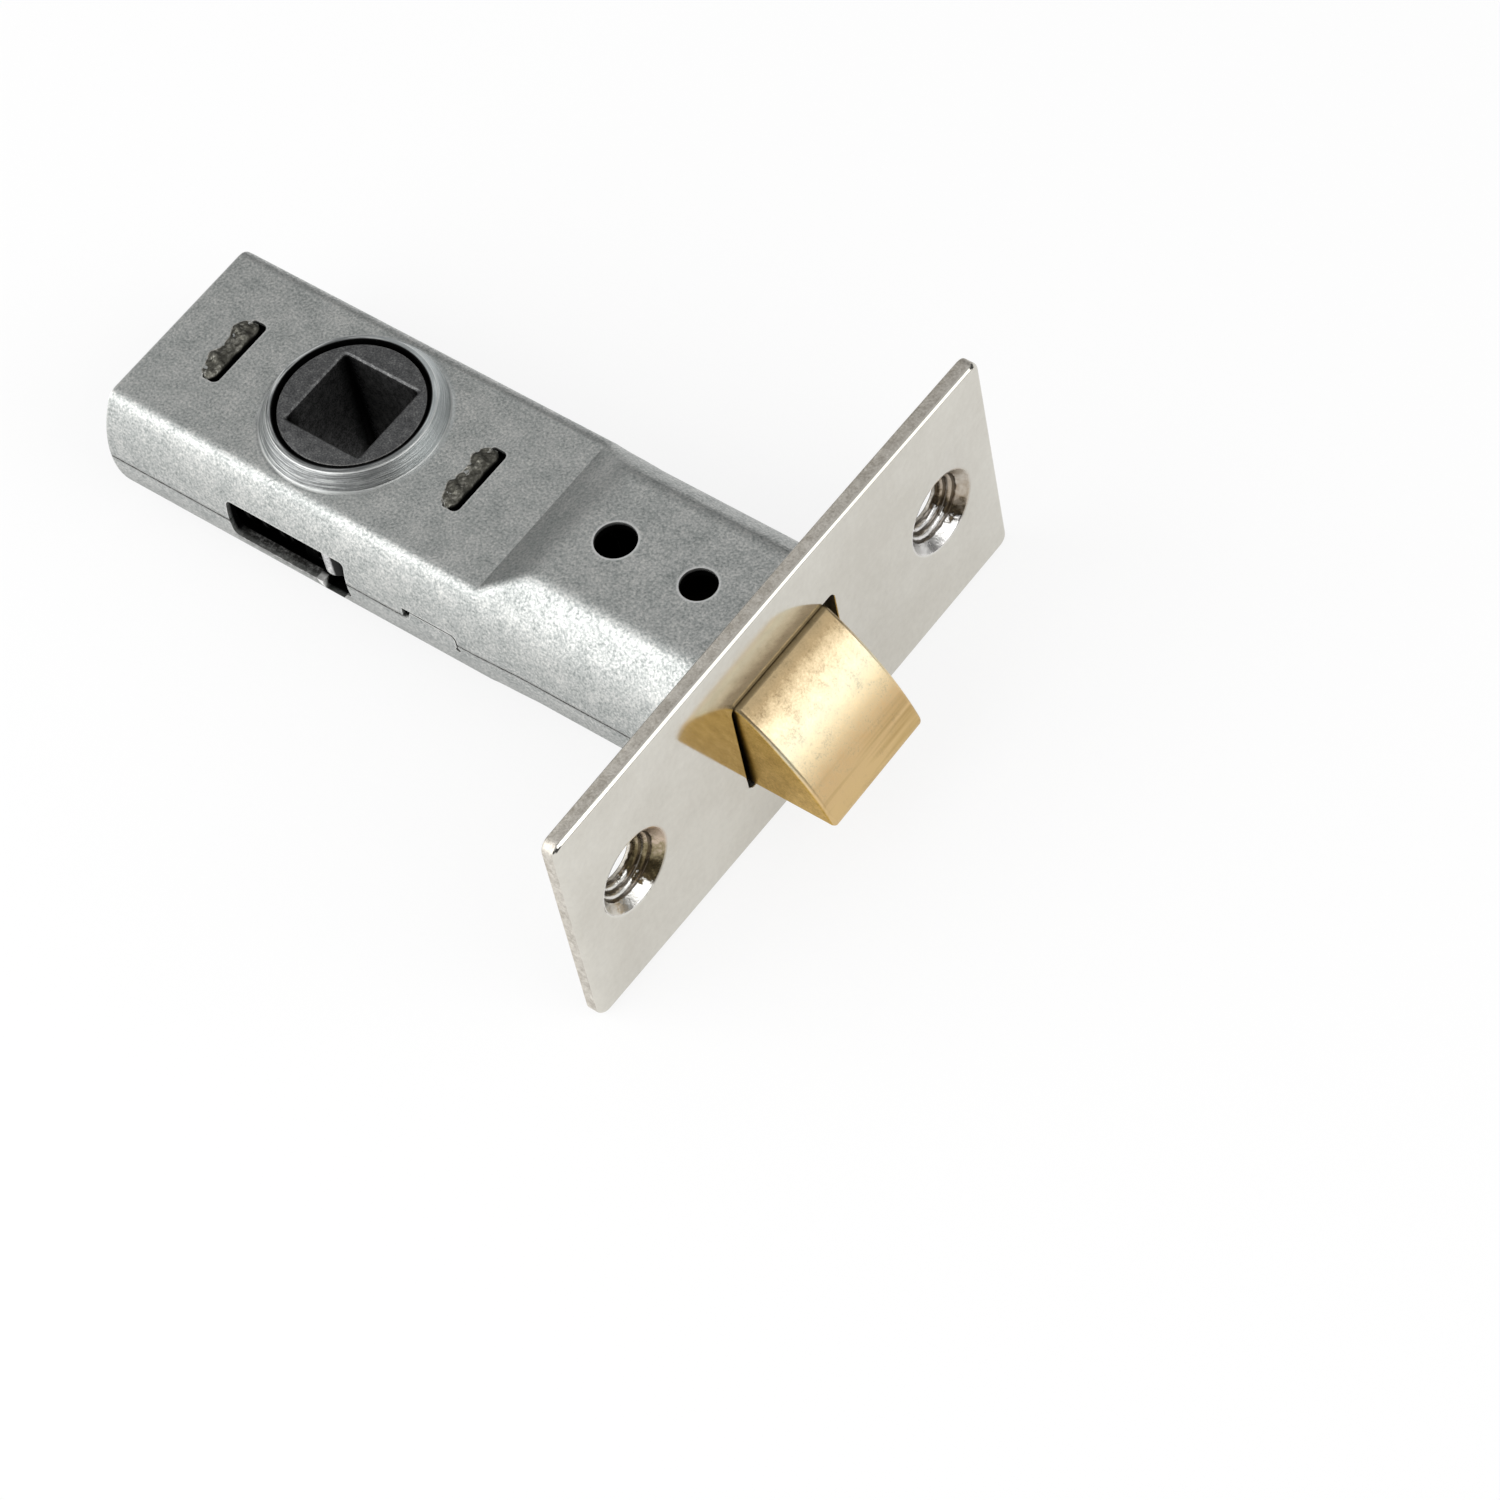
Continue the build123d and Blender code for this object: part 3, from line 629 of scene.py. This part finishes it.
# The drawn bar is not quite square: its top lies close under the whole of the hole's upper edge.
top_height, top_slant, hole_height, untouched_height = 4.83, 0.0262, 5.14, 1.0
for vertex in bolt.data.vertices:
    slant = top_height + top_slant * vertex.co.y / MM
    share = (vertex.co.z / MM - untouched_height) / (slant - untouched_height)
    vertex.co.z += max(0.0, share) * (hole_height - slant) * MM
round_rims(bolt, 0.14, steps=3)
give(bolt, brass, "bolt", "bolt_brass", "latch_bolt")
pin = solid_copy("bolt_rivet", "bolt_rivet_brass")
round_rims(pin, 0.1)
give(pin, brass, "bolt", "bolt_brass", "bolt_rivet")


# Faceplate: pressed from 1.5 mm steel and nickel plated bright. The screw seats were punched into
# it, which dimpled the back, stretched and stained the plating in the cones and left their lips
# soft; each cone's other side carries a painted highlight. Its sheared edges kept a dull grey-brown
# grain.

SCREW_Y, CONE_LIP, FIRST_GROOVE, GROOVE_STEP = 21.0, 4.05, 3.27, 0.47
GROOVE_TURN = 2 * math.pi / GROOVE_STEP
nickel, tree, shader = new_metal("nickel_plate")
cloud = place_group(tree, mottle, Blotches=0.10, Specks=1.6, Share=0.25)
tone = ramp(tree, cloud["Tone"], [(0.0, (0.625, 0.60, 0.54)), (1.0, (0.70, 0.68, 0.62))])
place = latch_place(tree)
split = axes_of(tree, place)
screw_y = product(tree, calc(tree, "SIGN", split["Y"]), SCREW_Y * MM)
from_screw = add(tree, "ShaderNodeCombineXYZ", {
    "X": calc(tree, "SUBTRACT", split["Y"], screw_y), "Y": split["Z"]}).outputs[0]
seat_radius = from_axis(tree, from_screw, (1.0, 1.0, 0.0))
in_seat = fade(tree, seat_radius, (CONE_LIP + 0.15) * MM, (CONE_LIP - 0.15) * MM)

# The stain gathers on the side of each seat towards the far end, with a ragged black border, and
# the other side is painted light as a painted highlight.
STAIN_AND_HIGHLIGHT_LEAN = (105.0, 60.0, 0.0)
lean = add(tree, "ShaderNodeVectorMath", {
    0: from_screw, 1: STAIN_AND_HIGHLIGHT_LEAN}, operation="DOT_PRODUCT").outputs["Value"]
streaks = spots(tree, place, 1500.0, 4.0, 0.6)
is_near = calc(tree, "LESS_THAN", split["Y"], 0.0)
ragged = calc(tree, "ADD", lean, fade(tree, is_near, 0.0, 1.0, 0.25, 0.33))
ragged = calc(tree, "ADD", ragged, product(tree, streaks, 0.6))
far_stain_and_highlight = ramp(tree, ragged, [
    (0.50, (0.80, 0.79, 0.77)), (0.56, (0.05, 0.04, 0.03)), (0.66, (0.13, 0.10, 0.06)),
    (0.78, (0.42, 0.35, 0.27)), (1.0, (0.60, 0.55, 0.48))])
near_stain_and_highlight = ramp(tree, ragged, [
    (0.50, (0.80, 0.79, 0.75)), (0.56, (0.06, 0.045, 0.025)), (0.74, (0.13, 0.10, 0.05)),
    (0.88, (0.30, 0.25, 0.15)), (1.0, (0.55, 0.44, 0.34))])
stain_and_highlight = blend_colour(tree, is_near, far_stain_and_highlight, near_stain_and_highlight)

# Grime stands in the fine grooves that the punch left round each hole.
inwards = product(tree, calc(tree, "SUBTRACT", seat_radius, FIRST_GROOVE * MM), GROOVE_TURN / MM)
sway = product(tree, calc(tree, "SUBTRACT", streaks, 0.5), 3.0)
groove = calc(tree, "SINE", calc(tree, "ADD", inwards, sway))
grimy = fade(tree, groove, 0.1, -0.5, 0.0, 0.85)
grooved = fade(tree, seat_radius, (FIRST_GROOVE + 0.05) * MM, FIRST_GROOVE * MM)
stain_and_highlight = blend_colour(tree, product(tree, grooved, grimy), stain_and_highlight, (0.07, 0.05, 0.03))
tone = blend_colour(tree, in_seat, tone, stain_and_highlight)

# The sheared edges of the plate are grainy.
grain = place_group(tree, mottle, Blotches=1.1, Specks=4.5, Share=0.5)
edge_tone = ramp(tree, grain["Tone"], [(0.0, (0.42, 0.385, 0.33)), (1.0, (0.78, 0.745, 0.68))])
facing = axes_of(tree, add(tree, "ShaderNodeNewGeometry").outputs["Normal"])
sheared_edge = fade(tree, calc(tree, "ABSOLUTE", facing["X"]), 0.35, 0.15)
tone = blend_colour(tree, sheared_edge, tone, edge_tone)

# Only the front was polished, so the back is duller than it.
off_seat = calc(tree, "SUBTRACT", 1.0, in_seat)
back = fade(tree, split["X"], (FACE_X - 0.9) * MM, (FACE_X - 1.4) * MM)
back = product(tree, back, off_seat)
rough = fade(tree, cloud["Tone"], 0.0, 1.0, 0.10, 0.06)
for duller, added in ((sheared_edge, 0.36), (in_seat, 0.2), (back, 0.2)):
    rough = calc(tree, "ADD", rough, product(tree, duller, added))
relief = calc(tree, "ADD", product(tree, sheared_edge, grain["Height"]),
              product(tree, in_seat, streaks))
finish_metal(tree, shader, tone, rough, relief, 0.6, 0.12)

face = solid_copy("faceplate", "faceplate_pressed")
round_rims(face, 0.14, steps=3)
give(face, nickel, "case", "faceplate_nickel", "faceplate")


def screw_seat(name, y_mm):
    """The skin of one screw seat: a smooth outer band, then fine grooves down to the hole."""
    lip, hole, turns, steps = 3.98, 2.22, 96, 60
    cone_hole, cone_back = 2.2, 42.8
    stand_out_radius, stand_out_x = -0.78, 0.62
    work = bmesh.new()
    rings = []
    for i in range(steps + 3):
        share = min(1.0, max(0.0, (i - 1) / steps))
        radius = lip + (hole - lip) * share
        x = cone_back + (FACE_X - cone_back) * (radius - cone_hole) / (CONE_LIP - cone_hole)
        cut = min(1.0, max(0.0, (FIRST_GROOVE + 0.08 - radius) / 0.1)) * min(1.0, (1 - share) * 8)
        skin = 0.045 + 0.05 * cut * math.sin(GROOVE_TURN * (radius - FIRST_GROOVE))
        # The first and the last ring close the skin inside the plate.
        if i in (0, steps + 2):
            skin = -0.25
        radius += skin * stand_out_radius
        x += skin * stand_out_x
        ring = []
        for turn in range(turns):
            angle = turn / turns * 2 * math.pi
            y, z = y_mm + radius * math.cos(angle), radius * math.sin(angle)
            ring.append(work.verts.new((x * MM, y * MM, z * MM)))
        rings.append(ring)
    for i, ring in enumerate(rings):
        inner = rings[(i + 1) % len(rings)]
        for turn in range(turns):
            after = (turn + 1) % turns
            work.faces.new((ring[turn], ring[after], inner[after], inner[turn]))
    bmesh.ops.recalc_face_normals(work, faces=work.faces)
    mesh = bpy.data.meshes.new(name)
    work.to_mesh(mesh)
    work.free()
    smooth(mesh, 60)
    return put(name, mesh)


for name, y_mm in (("near_screw_seat", -SCREW_Y), ("far_screw_seat", SCREW_Y)):
    give(screw_seat(name, y_mm), nickel, "case", "faceplate_nickel")


# Floor: a plain pale table. The latch rests on the faceplate's lower edge and on the rear of the
# lower collar's rim, so in the latch's own frame the table slopes gently down to the front.

rest_rear = Vector((-7.3, 0.0, -8.22)) * MM
rest_front = Vector((43.6, 0.0, -12.51)) * MM
slope = rest_front - rest_rear
table = bpy.data.meshes.new("table_top")
work = bmesh.new()
bmesh.ops.create_grid(work, x_segments=1, y_segments=1, size=4.0)
work.to_mesh(table)
work.free()
floor = put("table_top", table)
floor.location = rest_rear
floor.rotation_euler = (0.0, math.atan2(-slope.z, slope.x), 0.0)
paper = bpy.data.materials.new("pale_table")
paper.use_nodes = True
tree = paper.node_tree
shader = tree.nodes["Principled BSDF"]
shader.inputs["Base Color"].default_value = (0.86, 0.86, 0.86, 1)
shader.inputs["Roughness"].default_value = 0.9
shader.inputs["Specular IOR Level"].default_value = 0.1
# It is seen almost white, and as a middle grey where metal mirrors it.
seen_white, mirrored_grey = 0.82, 0.51
glow = add(tree, "ShaderNodeEmission", {"Color": (1, 1, 1, 1), "Strength": 1.0})
path = add(tree, "ShaderNodeLightPath").outputs
shiny = calc(tree, "MAXIMUM", path["Is Glossy Ray"], path["Is Transmission Ray"])
mirrored = product(tree, shiny, mirrored_grey)
seen = calc(tree, "MAXIMUM", product(tree, path["Is Camera Ray"], seen_white), mirrored)
veil = add(tree, "ShaderNodeMixShader", {0: seen, 1: shader.outputs[0], 2: glow.outputs[0]})
tree.links.new(veil.outputs[0], tree.nodes["Material Output"].inputs["Surface"])
floor.data.materials.append(paper)


# Light: an even pale surround, a large soft lamp over the near side and two weaker ones in front of
# the bolt and the screw seats. Metal mirrors a surround that is dark above the table and pale
# overhead.

world = bpy.data.worlds.new("studio")
bpy.context.scene.world = world
world.use_nodes = True
tree = world.node_tree
plain = tree.nodes["Background"]
plain.inputs["Color"].default_value = (0.62, 0.62, 0.62, 1)
direction = add(tree, "ShaderNodeTexCoord").outputs["Generated"]
lift = add(tree, "ShaderNodeSeparateXYZ", {0: direction}).outputs["Z"]
walls = ramp(tree, lift, [(0.0, 0.45), (0.08, 0.07), (0.32, 0.10), (0.62, 0.54), (0.8, 0.62)])
mirrored = add(tree, "ShaderNodeBackground", {"Color": walls})
white = add(tree, "ShaderNodeBackground", {"Color": (1, 1, 1, 1)})
path = add(tree, "ShaderNodeLightPath").outputs
shiny = calc(tree, "MAXIMUM", path["Is Glossy Ray"], path["Is Transmission Ray"])
first = add(tree, "ShaderNodeMixShader", {0: shiny, 1: plain.outputs[0], 2: mirrored.outputs[0]})
second = add(tree, "ShaderNodeMixShader", {
    0: path["Is Camera Ray"], 1: first.outputs[0], 2: white.outputs[0]})
tree.links.new(second.outputs[0], tree.nodes["World Output"].inputs["Surface"])

LIT_POINT = Vector((15.0, 0.0, 0.0)) * MM
for name, direction, distance, width, power in (
    ("near_lamp", (-0.40, -0.78, 0.48), 0.55, 0.70, 3.6),
    ("bolt_lamp", (0.85, 0.39, 0.34), 0.6, 0.28, 0.42),
    ("seat_lamp", (0.76, 0.0, 0.60), 0.6, 0.34, 0.68),
):
    lamp = bpy.data.lights.new(name, "AREA")
    lamp.size = width
    lamp.energy = power
    holder = put(name, lamp)
    aim = Vector(direction).normalized()
    holder.location = aim * distance + LIT_POINT
    holder.rotation_mode = "QUATERNION"
    holder.rotation_quaternion = (-aim).to_track_quat("-Z", "Y")


# Camera: at the photo's own viewpoint, which was worked out from the outlines of the case, the
# collar, the faceplate and the bolt.

FOCAL_PIXELS, PICTURE_PIXELS = 5709.07, 1500
right = Vector((0.790865, 0.596708, -0.135913))
down = Vector((0.431607, -0.701278, -0.567384))
ahead = Vector((-0.433876, 0.390063, -0.812159))
stand = Vector((246.532, -187.048, 375.656)) * MM
lens = bpy.data.cameras.new("camera")
lens.sensor_width = 36.0
lens.lens = FOCAL_PIXELS * lens.sensor_width / PICTURE_PIXELS
lens.clip_start, lens.clip_end = 0.01, 20.0
camera = put("camera", lens)
turn = Matrix((right, -down, -ahead)).transposed()
camera.matrix_world = Matrix.Translation(stand) @ turn.to_4x4()
bpy.context.scene.camera = camera
bpy.context.scene.view_settings.view_transform = "Standard"
